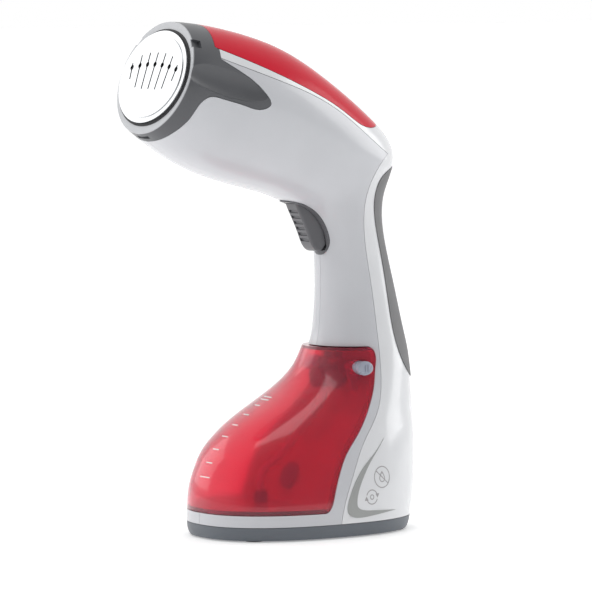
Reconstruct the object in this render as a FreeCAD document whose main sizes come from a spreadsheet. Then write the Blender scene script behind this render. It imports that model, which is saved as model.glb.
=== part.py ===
import FreeCAD, Part
import math
import os

import Sketcher
from FreeCAD import Matrix, Placement, Rotation, Vector

# Hand-held garment steamer that stands on its own base.
# Row frame: +Z up, front (the steam plate) towards -Y, origin on the floor under the base's centre.
# Everything is in millimetres and degrees.

doc = FreeCAD.newDocument("garment_steamer")
sheet = doc.addObject("Spreadsheet::Sheet", "Sizes")

DRIVING_SIZES = [
    ("base_length", 139.2, "foot of the casing, front to back"),
    ("base_width", 93.6, "foot of the casing, side to side"),
    ("tank_height", 108.3, "top edge of the water tank above the floor"),
    ("handle_rise", 109.0, "tank's top edge up to the elbow of the head"),
    ("handle_width", 41.2, "grip, side to side"),
    ("head_length", 150.0, "elbow to the front plane"),
    ("head_width", 74.4, "front ring, side to side"),
    ("head_height", 67.4, "front ring, top to bottom"),
    ("head_tilt", 19.5, "how far the head's axis rises"),
    ("wall", 2.2, "casing wall"),
    ("bezel_wall", 4.0, "thicker wall of the nozzle bezel"),
    ("tank_wall", 2.0, "moulded wall of the tank"),
    ("seam_gap", 0.3, "open line between two fixed mouldings"),
    ("tank_gap", 0.5, "room round the loose tank"),
    ("foot_height", 0.8, "how far the rubber feet stand out"),
    ("base_top", 8.6, "top edge of the grey base cover"),
    ("base_floor", 2.5, "thickness of the base cover's floor"),
    ("deck_top", 15.3, "deck that the tank stands on"),
    ("pad_proud", 0.5, "grip pad above the casing"),
    ("pad_depth", 1.1, "grip pad's recess"),
    ("inlay_proud", 0.25, "side inlay above the casing"),
    ("inlay_depth", 0.8, "side inlay's recess"),
    ("plate_width", 66.4, "steam plate, side to side"),
    ("plate_height", 55.4, "steam plate, top to bottom"),
    ("plate_proud", 1.8, "steam plate in front of the ring"),
    ("plate_step", 0.5, "raised inner face of the steam plate"),
    ("plate_rim", 3.2, "rim outside the raised face"),
    ("plate_thick", 5.0, "steam plate behind the ring's face"),
    ("slot_count", 7, "steam slots"),
    ("slot_pitch", 7.8, "steam slots, side to side"),
    ("slot_width", 1.1, "steam slot"),
    ("slot_depth", 1.8, "steam slot"),
    ("steam_hole", 3.2, "steam hole, across"),
    ("gasket_width", 1.5, "black gasket round the plate"),
    ("block_width", 60.0, "heater block, side to side"),
    ("block_height", 49.0, "heater block, top to bottom"),
    ("block_depth", 21.0, "heater block, along the head"),
    ("element_bend", 15.0, "bend radius of the heating element"),
    ("element_rod", 3.2, "radius of the heating element"),
    ("trigger_width", 12.0, "trigger, side to side"),
    ("trigger_gap", 0.7, "room beside the trigger"),
    ("surround_width", 2.2, "frame round the trigger's opening"),
    ("trigger_pin", 1.5, "trigger pin's radius"),
    ("running_gap", 0.06, "radial room of a shaft in its hole"),
    ("plunger_radius", 1.3, "switch plunger"),
    ("switch_width", 10.0, "micro switch, side to side"),
    ("valve_radius", 5.5, "valve nose on the tank's back"),
    ("valve_height", 90.0, "valve's axis above the floor"),
    ("stem_radius", 1.2, "valve stem"),
    ("button_length", 11.0, "release button, front to back"),
    ("button_height", 8.4, "release button, up and down"),
    ("button_reach", 32.3, "release button's face from the mid plane"),
    ("plug_radius", 8.0, "filler plug in the tank's back"),
    ("plug_height", 32.0, "filler plug's axis above the floor"),
    ("cord_bore", 3.6, "radius of the cord's way through the bush"),
    ("cord_height", 26.0, "cord bush's axis above the floor"),
    ("screw_radius", 1.5, "casing screw's shank"),
    ("screw_head", 3.0, "casing screw's head"),
    ("foot_radius", 6.0, "rubber foot"),
    ("hose_radius", 2.6, "silicone hose, outside"),
    ("hose_bore", 1.4, "silicone hose, inside"),
    ("pump_size", 30.0, "pump housing, each way"),
]

for row, (alias, value, note) in enumerate(DRIVING_SIZES, 1):
    sheet.set(f"A{row}", note)
    sheet.set(f"B{row}", str(value))
    sheet.setAlias(f"B{row}", alias)
doc.recompute()

# The outlines below are drawn at these sizes and stretch with the sheet.
DRAWN = {"base_length": 139.2, "base_width": 93.6, "tank_height": 108.3, "handle_rise": 109.0}
DRAWN.update({"handle_width": 41.2, "head_length": 150.0, "head_width": 74.4, "head_height": 67.4})

FAR = 400.0          # past the object on every side
nodes = {}


def size(name):
    return float(sheet.get(name))


def ratio(name):
    return size(name) / DRAWN[name]


# ---------------------------------------------------------------- places on the drawn outline


def at(y, z):
    """A side-view place on the base, the tank or the handle."""
    if z <= DRAWN["tank_height"]:
        return (y * ratio("base_length"), z * ratio("tank_height"))
    rise = (z - DRAWN["tank_height"]) * ratio("handle_rise")
    return (y * ratio("base_length"), size("tank_height") + rise)


TILT = math.radians(size("head_tilt"))
ELBOW = at(42.0, 217.3)
FRONT_Y = ELBOW[0] - size("head_length") * math.cos(TILT)
FRONT_Z = ELBOW[1] + size("head_length") * math.sin(TILT)


def on_head(back, up):
    """A side-view place on the head: back from the front plane, and up from the head's axis."""
    run = back * ratio("head_length")
    lift = up * ratio("head_height")
    y = FRONT_Y + run * math.cos(TILT) + lift * math.sin(TILT)
    z = FRONT_Z - run * math.sin(TILT) + lift * math.cos(TILT)
    return (y, z)


def head_place(x=0.0, up=0.0, out=0.0):
    """Placement in the head: local X is row X, local Y is up the plate, local Z points out."""
    y = FRONT_Y - out * math.cos(TILT) + up * math.sin(TILT)
    z = FRONT_Z + out * math.sin(TILT) + up * math.cos(TILT)
    return Placement(Vector(x, y, z), Rotation(Vector(1, 0, 0), 90 - size("head_tilt")))


# Local Z of a turned piece laid along +Y, +X or -X.
TO_BACK = Rotation(Vector(1, 0, 0), -90)
TO_LEFT = Rotation(Vector(0, 1, 0), 90)
TO_RIGHT = Rotation(Vector(0, 1, 0), -90)

# ---------------------------------------------------------------- the casing's outer form

# Each station is an oval section: lowest or front point, highest or back point, half width and squareness.
FOOT = [
    ((-66.6, 0), (66.2, 0), 44.4, 2.35),
    ((-68.6, 3), (68.0, 3), 46.0, 2.35),
    ((-69.4, 10), (69.6, 10), 46.7, 2.35),
    ((-69.4, 19), (71.2, 19), 46.8, 2.35),
    ((-68.4, 29), (72.6, 29), 46.0, 2.35),
    ((-65.6, 39), (73.5, 39), 44.8, 2.3),
    ((-60.5, 49), (74.1, 49), 43.0, 2.3),
    ((-52.5, 58), (74.3, 58), 41.0, 2.25),
    ((-40.5, 67.5), (74.2, 67.5), 38.0, 2.2),
    ((-24.5, 77), (73.9, 77), 34.6, 2.2),
]
NECK = [
    ((-7, 87), (73.4, 87), 31.3, 2.15),
    ((5.5, 97), (72.6, 96), 28.6, 2.1),
    ((11.8, 108), (71.4, 105), 26.2, 2.1),
]
TANK_TOP = [
    ((-9, 87), (73.4, 87), 31.7, 2.15),
    ((1.2, 97), (72.6, 96), 29.3, 2.1),
    ((7.2, 108), (71.4, 105), 27.5, 2.1),
]
HANDLE = [
    ((14.6, 125), (68.3, 119), 23.4, 2.1),
    ((15.3, 145), (62.5, 143), 21.3, 2.1),
    ((14.8, 162), (57.2, 163), 20.6, 2.1),
    ((13.2, 174), (53.6, 182), 20.8, 2.1),
    ((8.5, 182.5), (55.5, 200), 21.8, 2.1),
    ((1.5, 188.5), (62.0, 219), 24.0, 2.1),
]
HEAD = [
    ((108, -39.6), (144, 25.2), 28.8, 2.1),
    ((92, -39.6), (106, 36.4), 33.0, 2.1),
    ((66, -42.0), (72, 42.3), 36.3, 2.1),
    ((40, -42.2), (42, 41.6), 37.8, 2.1),
    ((18, -38.8), (18, 38.2), 38.0, 2.05),
    ((4, -34.9), (4, 34.9), 37.6, 2.0),
    ((0, -33.6), (0, 33.7), 36.6, 2.0),
]
SECTION_POINTS = 13


def stations(lower_neck):
    """All stations from the floor to the front plane, in the row frame."""
    rows = []
    for front, back, half, power in FOOT + lower_neck:
        rows.append((at(*front), at(*back), half * ratio("base_width"), power))
    for front, back, half, power in HANDLE:
        rows.append((at(*front), at(*back), half * ratio("handle_width"), power))
    for low, high, half, power in HEAD:
        rows.append((on_head(*low), on_head(*high), half * ratio("head_width"), power))
    return rows


def half_section(front, back, half, power, offset):
    """Left half of one oval section, from its front point round to its back point."""
    length = math.hypot(back[0] - front[0], back[1] - front[1])
    along = ((back[0] - front[0]) / length, (back[1] - front[1]) / length)
    mid = ((front[0] + back[0]) / 2, (front[1] + back[1]) / 2)
    reach = length / 2 + offset
    points = []
    for k in range(SECTION_POINTS):
        turn = math.pi * k / (SECTION_POINTS - 1)
        run = -reach * math.copysign(abs(math.cos(turn)) ** (2 / power), math.cos(turn))
        side = (half + offset) * abs(math.sin(turn)) ** (2 / power)
        if k in (0, SECTION_POINTS - 1):
            side = 0.0
        points.append(Vector(side, mid[0] + run * along[0], mid[1] + run * along[1]))
    return points


def half_form(offset, lower_neck=NECK, past=0.0):
    """Left half of the casing's form, moved out by the offset, and run on past both ends."""
    rows = [half_section(*row, offset) for row in stations(lower_neck)]
    if past:
        rows.insert(0, [p - Vector(0, 0, past) for p in rows[0]])
        ahead = Vector(0, -math.cos(TILT), math.sin(TILT)) * past
        rows.append([p + ahead for p in rows[-1]])
    surface = Part.BSplineSurface()
    surface.interpolate(rows)
    skin = surface.toShape()
    on_mid = [e for e in skin.Edges if max(v.Point.x for v in e.Vertexes) < 1e-6 and edge_is_flat(e)]
    ends = [e for e in skin.Edges if not any(e.isSame(m) for m in on_mid)]
    caps = []
    chords = []
    for end in ends:
        chord = Part.makeLine(end.Vertexes[0].Point, end.Vertexes[-1].Point)
        chords.append(chord)
        caps.append(Part.Face(Part.Wire(Part.__sortEdges__([end, chord]))))
    mid_face = Part.Face(Part.Wire(Part.__sortEdges__(on_mid + chords)))
    shell = Part.Shell([skin, mid_face] + caps)
    shell.sewShape()
    solid = Part.Solid(shell)
    if solid.Volume < 0:
        solid.reverse()
    return solid


def edge_is_flat(edge):
    """True for an edge that lies in the mid plane."""
    first, last = edge.ParameterRange
    return all(abs(edge.valueAt(first + (last - first) * k / 6).x) < 1e-6 for k in range(7))


# ---------------------------------------------------------------- side-view seams and regions


class Seam:
    """A line in the side view, made of straight and curved runs that share their ends."""

    def __init__(self, *runs):
        self.kinds = [kind for kind, points in runs]
        self.points = []
        self.counts = []
        for k, (kind, points) in enumerate(runs):
            self.points.extend(points if k == 0 else points[1:])
            self.counts.append(len(points))

    def moved(self, gap):
        """The same seam, moved to the left of its direction."""
        twin = Seam()
        twin.kinds = self.kinds
        twin.counts = self.counts
        last = len(self.points) - 1
        for k, (y, z) in enumerate(self.points):
            a = self.points[max(k - 1, 0)]
            b = self.points[min(k + 1, last)]
            length = math.hypot(b[0] - a[0], b[1] - a[1])
            twin.points.append((y - gap * (b[1] - a[1]) / length, z + gap * (b[0] - a[0]) / length))
        return twin

    def edges(self):
        found = []
        first = 0
        for kind, count in zip(self.kinds, self.counts):
            run = [Vector(0, y, z) for y, z in self.points[first:first + count]]
            first += count - 1
            if kind == "line":
                found += [Part.makeLine(a, b) for a, b in zip(run, run[1:])]
            else:
                curve = Part.BSplineCurve()
                curve.interpolate(run)
                found.append(curve.toShape())
        return found

    def region(self, *corners, reach=FAR, start=0.0):
        """The prism, along X, of the area that the seam closes with these corners."""
        path = [self.points[-1]] + list(corners) + [self.points[0]]
        spots = [Vector(0, y, z) for y, z in path]
        closing = [Part.makeLine(a, b) for a, b in zip(spots, spots[1:]) if (a - b).Length > 1e-6]
        edges = self.edges() + closing
        face = Part.Face(Part.Wire(edges))
        face.translate(Vector(start, 0, 0))
        return face.extrude(Vector(reach, 0, 0))


def head_points(*places):
    return [on_head(*place) for place in places]


def body_points(*places):
    return [at(*place) for place in places]


CROWN_BACK = 14.6
BEZEL_SEAM = Seam(
    ("line", head_points((CROWN_BACK, 70), (CROWN_BACK, 24.2), (17.4, 23.4), (18.4, 18.0))),
    ("curve", head_points((18.4, 18.0), (30, 15.7), (42, 12.9), (52, 8.6), (57, 3.8), (53, -0.2), (40, -2.3),
                          (24, -3.5), (15.8, -5.2), (12, -9.5), (10.4, -20), (8.6, -29), (7.0, -38))),
    ("line", head_points((7.0, -38), (6.0, -70))),
)
COVER_SEAM = Seam(
    ("curve", head_points((-20, 23.4), (10, 23.8), (47.3, 23.4), (86.9, 21.5), (105.7, 19.6), (118.8, 17.0),
                          (128, 15.2), (136, 15.6), (143, 18), (150, 23), (158, 32))),
    ("line", head_points((158, 32), (175, 60))),
)
CREASE_SEAM = Seam(
    ("curve", head_points((-20, 18.4), (17, 18.6), (57.7, 19.3), (101.3, 18.3), (118.9, 15), (137.5, 10),
                          (156.3, 5.8))),
    ("curve", [on_head(156.3, 5.8)] + body_points((41.2, 214.6), (34.1, 203.1), (31.5, 185.6), (33.4, 165),
                                                   (37.1, 141.4), (38.9, 118), (37.8, 92), (31.5, 72.3), (18.4, 56),
                                                   (6.4, 33.8), (0.6, 19.7), (-1.6, 8))),
    ("line", body_points((-1.6, 8), (-2.4, -20))),
)
TANK_SEAM = Seam(
    ("line", body_points((-250, 15.8), (-13.6, 15.8))),
    ("curve", body_points((-13.6, 15.8), (-10.6, 16.6), (-8.6, 19.2), (-6.3, 25.9), (-2.4, 36.9), (2.9, 47.2),
                          (13.8, 59.7), (24.2, 73), (31.6, 87.4), (34, 96), (35.2, 103.0), (34.2, 106.8),
                          (30.4, 108.3))),
    ("line", body_points((30.4, 108.3), (-250, 108.3))),
)
PAD_SEAM = Seam(
    ("line", body_points((90, 212), (62, 213))),
    ("curve", body_points((62, 213), (50.1, 211), (42.4, 205.8), (39.2, 197), (39.8, 185.2), (44.5, 164.5),
                          (49.2, 135), (51.3, 117.3), (54.2, 105.5), (60.5, 94.6), (71, 88.6))),
    ("line", body_points((71, 88.6), (90, 86))),
)
INLAY_SEAM = Seam(
    ("curve", body_points((32.5, 56), (22.7, 46.6), (13.9, 39.0), (8.1, 31.3), (4.1, 23.7), (2.4, 18.1),
                          (3.1, 14.4), (6, 12.3), (11.6, 11.5), (20.6, 12.1), (32.1, 13.2), (40.5, 13.9))),
    ("curve", body_points((40.5, 13.9), (32.1, 14.4), (20.6, 15.1), (13, 16.0), (9.9, 17.8), (9.3, 20.9),
                          (10.9, 27.3), (15, 35.2), (20.9, 43.3), (27.9, 50.6), (32.5, 56))),
)

HEAD_FRONT = head_points((-60, -70), (-60, 70))


def bezel_region(gap):
    """Everything in front of the bezel's back edge, moved back by the gap."""
    return BEZEL_SEAM.moved(gap).region(*HEAD_FRONT)


def cover_region(gap):
    return COVER_SEAM.moved(-gap).region(*head_points((175, 200), (-20, 200)))


def side_region(gap):
    """Everything in front of the crease, moved back by the gap."""
    return CREASE_SEAM.moved(gap).region((-FAR, -20), (-FAR, FAR), on_head(-20, 60))


def tank_region(gap):
    """The prism of the tank's side view, grown by the gap."""
    return TANK_SEAM.moved(-gap).region()


def block(low_y, high_y, low_z, high_z, low_x=0.0, high_x=FAR):
    return Part.makeBox(high_x - low_x, high_y - low_y, high_z - low_z, Vector(low_x, low_y, low_z))


def above(z):
    return block(-FAR, FAR, z, FAR)


def below(z):
    return block(-FAR, FAR, -FAR, z)


def rod(radius, start, end):
    """A round bar between two points."""
    way = Vector(*end) - Vector(*start)
    return Part.makeCylinder(radius, way.Length, Vector(*start), way)


def mirrored(shape):
    return shape.mirror(Vector(0, 0, 0), Vector(1, 0, 0))


def both_halves(shape):
    """One solid from a left half that ends on the mid plane."""
    return shape.fuse(mirrored(shape)).removeSplitter()


def largest(shape):
    """The main solid, without crumbs that a cut leaves behind."""
    return max(shape.Solids, key=lambda s: s.Volume)


# ---------------------------------------------------------------- document objects


def add_node(label, shape, placement=None):
    """A sub-part whose shape is made with Part's own functions."""
    feature = doc.addObject("Part::Feature", label)
    feature.Label = label
    feature.Shape = shape
    if placement:
        feature.Placement = placement
    nodes[label] = feature
    return feature


def keep(label, obj, placement=None):
    obj.Label = label
    if placement:
        obj.Placement = placement
    nodes[label] = obj
    return obj


def bind(obj, **sizes):
    for prop, expression in sizes.items():
        obj.setExpression(prop, expression)
    return obj


def cylinder(name, radius, height, placement=None):
    obj = bind(doc.addObject("Part::Cylinder", name), Radius=radius, Height=height)
    if placement:
        obj.Placement = placement
    return obj


def box(name, length, width, height, placement=None):
    """A box with its middle on the placement's Z axis."""
    obj = bind(doc.addObject("Part::Box", name), Length=length, Width=width, Height=height)
    spot = placement or Placement()
    shift = Vector(-value_of(length) / 2, -value_of(width) / 2, 0)
    obj.Placement = spot.multiply(Placement(shift, Rotation()))
    return obj


def value_of(expression):
    found = sheet.evalExpression(expression)
    return float(getattr(found, "Value", found))


def fused(name, *parts):
    obj = doc.addObject("Part::MultiFuse", name)
    obj.Shapes = list(parts)
    return obj


def cut(name, base, tool):
    obj = doc.addObject("Part::Cut", name)
    obj.Base = base
    obj.Tool = tool
    return obj


def oval_disc(name, across, tall, thick, placement):
    """An oval disc, whose wide axis is local X."""
    oval = doc.addObject("Part::Ellipse", name + "_oval")
    bind(oval, MajorRadius=f"({across}) / 2", MinorRadius=f"({tall}) / 2")
    disc = doc.addObject("Part::Extrusion", name)
    disc.Base = oval
    disc.Dir = Vector(0, 0, 1)
    disc.Solid = True
    bind(disc, LengthFwd=thick)
    disc.Placement = placement
    return disc


def sketch_outline(body, plane, points):
    """A closed outline, each corner held by two sizes from the sheet."""
    sketch = body.newObject("Sketcher::SketchObject", body.Name + "_outline")
    origin_plane = next(f for f in body.Origin.OriginFeatures if f.Role == plane)
    sketch.AttachmentSupport = [(origin_plane, "")]
    sketch.MapMode = "FlatFace"
    spots = [Vector(value_of(u), value_of(v), 0) for u, v in points]
    count = len(spots)
    for k in range(count):
        sketch.addGeometry(Part.LineSegment(spots[k], spots[(k + 1) % count]), False)
    for k in range(count):
        sketch.addConstraint(Sketcher.Constraint("Coincident", k, 2, (k + 1) % count, 1))
    for k, (u, v) in enumerate(points):
        for kind, axis, expression, value in (("DistanceX", -2, u, spots[k].x), ("DistanceY", -1, v, spots[k].y)):
            if abs(value) < 1e-9:
                sketch.addConstraint(Sketcher.Constraint("PointOnObject", k, 1, axis))
            else:
                index = sketch.addConstraint(Sketcher.Constraint(kind, -1, 1, k, 1, value))
                sketch.setExpression(f"Constraints[{index}]", expression)
    return sketch


def turned(label, points, placement=None):
    """A body turned about its local Z; each point is a radius and a height."""
    body = doc.addObject("PartDesign::Body", label)
    sketch = sketch_outline(body, "XZ_Plane", points)
    turn = body.newObject("PartDesign::Revolution", label + "_turn")
    turn.Profile = sketch
    turn.ReferenceAxis = (sketch, ["V_Axis"])
    turn.Angle = 360
    body.Tip = turn
    return keep(label, body, placement)


def coil(radius, wire, length, turns):
    """A round-wire spring along local Z that starts at the origin."""
    helix = Part.makeHelix(length / turns, length, radius)
    ring = Part.Wire(Part.makeCircle(wire, Vector(radius, 0, 0), Vector(0, 1, 0)))
    return Part.Wire(helix).makePipeShell([ring], True, True)


def hose(points, bend, outer, inner):
    """A hollow tube along straight runs that are joined by arcs."""
    spots = [Vector(*p) for p in points]
    edges = []
    start = spots[0]
    for before, corner, after in zip(spots, spots[1:], spots[2:]):
        back = (before - corner).normalize()
        ahead = (after - corner).normalize()
        half_turn = (math.pi - back.getAngle(ahead)) / 2
        trim = bend * math.tan(half_turn)
        middle = (back + ahead).normalize()
        centre = corner + middle * (bend / math.cos(half_turn))
        first = corner + back * trim
        last = corner + ahead * trim
        edges.append(Part.makeLine(start, first))
        edges.append(Part.Arc(first, centre - middle * bend, last).toShape())
        start = last
    edges.append(Part.makeLine(start, spots[-1]))
    path = Part.Wire(edges)
    way = spots[1] - spots[0]
    skins = []
    for radius in (outer, inner):
        ring = Part.Wire(Part.makeCircle(radius, spots[0], way))
        skins.append(path.makePipeShell([ring], True, False))
    return skins[0].cut(skins[1])


# ---------------------------------------------------------------- shared casing forms

WALL = size("wall")
SEAM = size("seam_gap")
OUTER = half_form(0.0)
INNER = half_form(-WALL, past=6.0)
CASING = OUTER.cut(INNER)
INSIDE = half_form(-WALL - 0.1, past=6.0)
TANK_OUTER = half_form(0.0, TANK_TOP)
TANK_INNER = half_form(-size("tank_wall"), TANK_TOP, past=6.0)
UNDER = below(size("base_top"))


def seam_depth(seam, z):
    """The seam's y at this height, taken where it runs up the back of the tank."""
    edge = seam.edges()[1]
    line = Part.makeLine(Vector(0, -FAR, z), Vector(0, FAR, z))
    nearest = edge.distToShape(line)[1]
    return nearest[0][0].y


VALVE_Z = size("valve_height") * ratio("tank_height")
VALVE_Y = seam_depth(TANK_SEAM, VALVE_Z)
PLUG_Z = size("plug_height") * ratio("tank_height")
PLUG_Y = seam_depth(TANK_SEAM, PLUG_Z)
PLUG_RUN = seam_depth(TANK_SEAM, PLUG_Z + 4) - seam_depth(TANK_SEAM, PLUG_Z - 4)
PLUG_LEAN = math.degrees(math.atan(PLUG_RUN / 8))
PLUG_TURN = Rotation(Vector(1, 0, 0), -90 - PLUG_LEAN)
BUTTON_Y, BUTTON_Z = at(25.6, 96.6)
CORD_Y = at(71.9, 26)[0]
SCREW_SPOTS = [at(30.0, 119.0), at(28.0, 150.0), on_head(74, -25)]
PIVOT = at(0.5, 201.5)
PIN_REACH = size("trigger_width") / 2 + 5.0
BASE_SCREWS = [(x * ratio("base_width"), at(y, 0)[0]) for x in (-29, 29) for y in (-34, 40)]
FEET = [(x * ratio("base_width"), at(y, 0)[0]) for x in (-25, 25) for y in (-48, 50)] + [(0.0, 0.0)]


# ---------------------------------------------------------------- nozzle bezel


def make_bezel():
    """Grey moulding: front ring, raised crown and a wing down each side of the head."""
    face = 3.0
    hollow = half_form(-size("bezel_wall"), past=6.0)
    front_line = Seam(("line", head_points((face, 90), (face, -90))))
    behind = front_line.region(on_head(200, -90), on_head(200, 90))
    shape = OUTER.common(bezel_region(0.0)).cut(hollow.common(behind))
    shape = shape.cut(plate_opening())
    shape = shape.cut(wing_scoop())
    for tool in accessory_notches():
        shape = shape.cut(tool)
    add_node("nozzle_bezel", largest(both_halves(shape)))


def oval_prism(across, tall, thick, placement):
    """An oval bar that starts at the placement and runs along its local Z."""
    ends = [Vector(across / 2, 0, 0), Vector(0, tall / 2, 0)]
    ends.sort(key=lambda end: -end.Length)
    oval = Part.Ellipse(ends[0], ends[1], Vector(0, 0, 0))
    face = Part.Face(Part.Wire(oval.toShape()))
    if face.normalAt(0, 0).z < 0:
        face.reverse()
    bar = face.extrude(Vector(0, 0, thick))
    bar.Placement = placement
    return bar


def plate_opening():
    ring = 2 * size("gasket_width") + 0.2
    return oval_prism(size("plate_width") + ring, size("plate_height") + ring, 40, head_place(out=-20))


def wing_scoop():
    """A long shallow hollow down the wing, deepest beside the ring."""
    ball = Part.makeSphere(1.0)
    stretch = Matrix()
    stretch.scale(3.6, 9.4, 33.0)
    scoop = ball.transformGeometry(stretch)
    spot = on_head(24, 7.4)
    lean = Rotation(Vector(1, 0, 0), 90 - size("head_tilt") + 3.5)
    scoop.Placement = Placement(Vector(36.3 * ratio("head_width") + 2.0, spot[0], spot[1]), lean)
    return scoop


def accessory_notches():
    """Two small steps beside the crown and a slot under the ring, where a brush clips on."""
    step = Part.makeBox(6, 3.2, 6.5, Vector(-3, -1.6, -5.5))
    step.Placement = head_place(x=28.6 * ratio("head_width"), up=21.8 * ratio("head_height"))
    step.rotate(step.Placement.Base, Vector(0, -math.cos(TILT), math.sin(TILT)), -52)
    slot = Part.makeBox(6, 6, 2.2, Vector(0, -3, -5.2))
    slot.Placement = head_place(up=-34.0 * ratio("head_height"))
    return [step, slot]


# ---------------------------------------------------------------- casing shells


def make_top_cover():
    """Glossy top cover, from the crown back to the elbow."""
    shape = CASING.common(cover_region(-SEAM / 2)).cut(bezel_region(SEAM))
    add_node("top_cover", largest(both_halves(shape)))


def make_rear_spine():
    """Rear moulding: a thin band under the top cover, the handle's back and the back of the foot."""
    shape = CASING.cut(side_region(SEAM / 2)).cut(cover_region(SEAM / 2)).cut(bezel_region(SEAM)).cut(UNDER)
    pad_hollow = half_form(-size("pad_depth") - 0.05)
    shape = shape.cut(PAD_SEAM.moved(-0.15).region().cut(pad_hollow))
    inlay_hollow = half_form(-size("inlay_depth") - 0.05)
    shape = shape.cut(INLAY_SEAM.region().cut(inlay_hollow))
    shape = both_halves(largest(shape))
    bush_hole = rod(BUSH_RADIUS + 0.1, (0, CORD_Y - 20, CORD_Z), (0, CORD_Y + 20, CORD_Z))
    add_node("rear_spine", largest(shape.cut(bush_hole)))


def make_grip_pad():
    """Soft grip pad, let into the back of the handle."""
    outer = half_form(size("pad_proud"))
    inner = half_form(-size("pad_depth"))
    shape = PAD_SEAM.region().common(outer).cut(inner)
    add_node("grip_pad", largest(both_halves(shape)))


def make_inlays():
    """Crescent inlay on each side of the foot."""
    outer = half_form(size("inlay_proud"))
    inner = half_form(-size("inlay_depth"))
    shape = largest(INLAY_SEAM.region().common(outer).cut(inner))
    add_node("side_inlay_left", shape)
    add_node("side_inlay_right", mirrored(shape))


def boss(spot, inner_x, radius):
    """A post on the casing's wall that stops short of the mid plane."""
    return rod(radius, (inner_x, *spot), (60 * ratio("base_width"), *spot)).common(half_form(-WALL / 2))


def make_sides():
    """Left and right casing shells, screwed together through posts."""
    trimmed = CASING.common(side_region(-SEAM / 2)).cut(bezel_region(SEAM))
    trimmed = trimmed.cut(tank_region(size("tank_gap"))).cut(UNDER)
    trimmed = trimmed.cut(surround_bar(0.1))
    shape = largest(trimmed)
    for spot in SCREW_SPOTS:
        shape = shape.fuse(boss(spot, 0.1, POST_RADIUS))
    pivot_post = boss(PIVOT, size("trigger_width") / 2 + 0.4, 3.6)
    shape = shape.fuse(pivot_post)
    shape = shape.cut(rod(size("trigger_pin") + 0.02, (-1, *PIVOT), (PIN_REACH + 0.1, *PIVOT)))
    shape = shape.cut(block(-FAR, FAR, -FAR, FAR, -1.0, 0.1))
    left = shape
    right = mirrored(shape)
    for spot in SCREW_SPOTS:
        left = left.cut(rod(size("screw_radius") + 0.05, (-1, *spot), (13, *spot)))
        right = right.cut(rod(size("screw_radius") + 0.1, (-60, *spot), (1, *spot)))
        right = right.cut(rod(size("screw_head") + 0.2, (-60, *spot), (-SCREW_SEAT, *spot)))
    add_node("casing_left", largest(left))
    add_node("casing_right", largest(right))


POST_RADIUS = size("screw_head") + 1.6
SCREW_SEAT = 7.0
SCREW_LENGTH = 18.0


def screw_points(length):
    """Pan-head screw: the head's underside is at height 0 and the shank runs up from it."""
    return [
        ("0", "-2"), ("Sizes.screw_head - 0.6", "-2"), ("Sizes.screw_head", "-1.2"), ("Sizes.screw_head", "0"),
        ("Sizes.screw_radius", "0"), ("Sizes.screw_radius", f"{length} - 1.2"), ("0", f"{length}"),
    ]


def make_screws():
    """Three screws join the casing shells, four hold the base cover, four hold the chamber's lid."""
    pattern = turned("screw_pattern", screw_points(SCREW_LENGTH))
    short = turned("short_screw_pattern", screw_points(12.5))
    doc.recompute()
    nodes.pop("screw_pattern")
    nodes.pop("short_screw_pattern")
    side = []
    for spot in SCREW_SPOTS:
        one = pattern.Shape.copy()
        one.Placement = Placement(Vector(-SCREW_SEAT, *spot), TO_LEFT)
        side.append(one)
    add_node("casing_screws", Part.makeCompound(side))
    under = []
    for x, y in BASE_SCREWS:
        one = short.Shape.copy()
        one.Placement = Placement(Vector(x, y, size("foot_height") + 2.2), Rotation())
        under.append(one)
    add_node("base_screws", Part.makeCompound(under))
    lid = []
    for x in (-21, 21):
        for up in (-12, 12):
            one = short.Shape.copy()
            one.Placement = head_place(x, up, LID_OUT - LID_THICK)
            lid.append(one)
    add_node("chamber_screws", Part.makeCompound(lid))


# ---------------------------------------------------------------- base


def make_base_cover():
    """Grey tray under the casing, with screw posts and shallow seats for the feet."""
    low = size("foot_height")
    tray = OUTER.common(block(-FAR, FAR, low, size("base_top") - SEAM))
    tray = tray.cut(INNER.common(above(low + size("base_floor"))))
    tray = both_halves(largest(tray))
    for x, y in BASE_SCREWS:
        tray = tray.fuse(rod(4.6, (x, y, low), (x, y, DECK_UNDER)))
    for x, y in BASE_SCREWS:
        tray = tray.cut(rod(size("screw_radius") + 0.1, (x, y, 0), (x, y, 40)))
        tray = tray.cut(rod(size("screw_head") + 0.3, (x, y, 0), (x, y, low + 2.2)))
    for x, y in FEET:
        tray = tray.cut(rod(size("foot_radius") + 0.05, (x, y, 0), (x, y, low + 0.8)))
    add_node("base_cover", largest(tray.removeSplitter()))


def make_feet():
    foot = turned("foot_pattern", [
        ("0", "0"), ("Sizes.foot_radius - 0.6", "0"), ("Sizes.foot_radius", "0.5"),
        ("Sizes.foot_radius", "Sizes.foot_height + 0.8"), ("0", "Sizes.foot_height + 0.8"),
    ])
    doc.recompute()
    nodes.pop("foot_pattern")
    feet = []
    for x, y in FEET:
        one = foot.Shape.copy()
        one.Placement = Placement(Vector(x, y, 0), Rotation())
        feet.append(one)
    add_node("rubber_feet", Part.makeCompound(feet))


SOCKET_BACK = size("tank_gap") + 1.0
DECK_THICK = 2.2
DECK_TOP = size("deck_top") * ratio("tank_height")
DECK_UNDER = DECK_TOP - DECK_THICK


def plug_bar(radius, start, end):
    """A bar on the filler plug's axis, from start to end behind the tank's back wall."""
    axis = PLUG_TURN.multVec(Vector(0, 0, 1))
    base = Vector(0, PLUG_Y, PLUG_Z) + axis * start
    return Part.makeCylinder(radius, end - start, base, axis)


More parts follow.
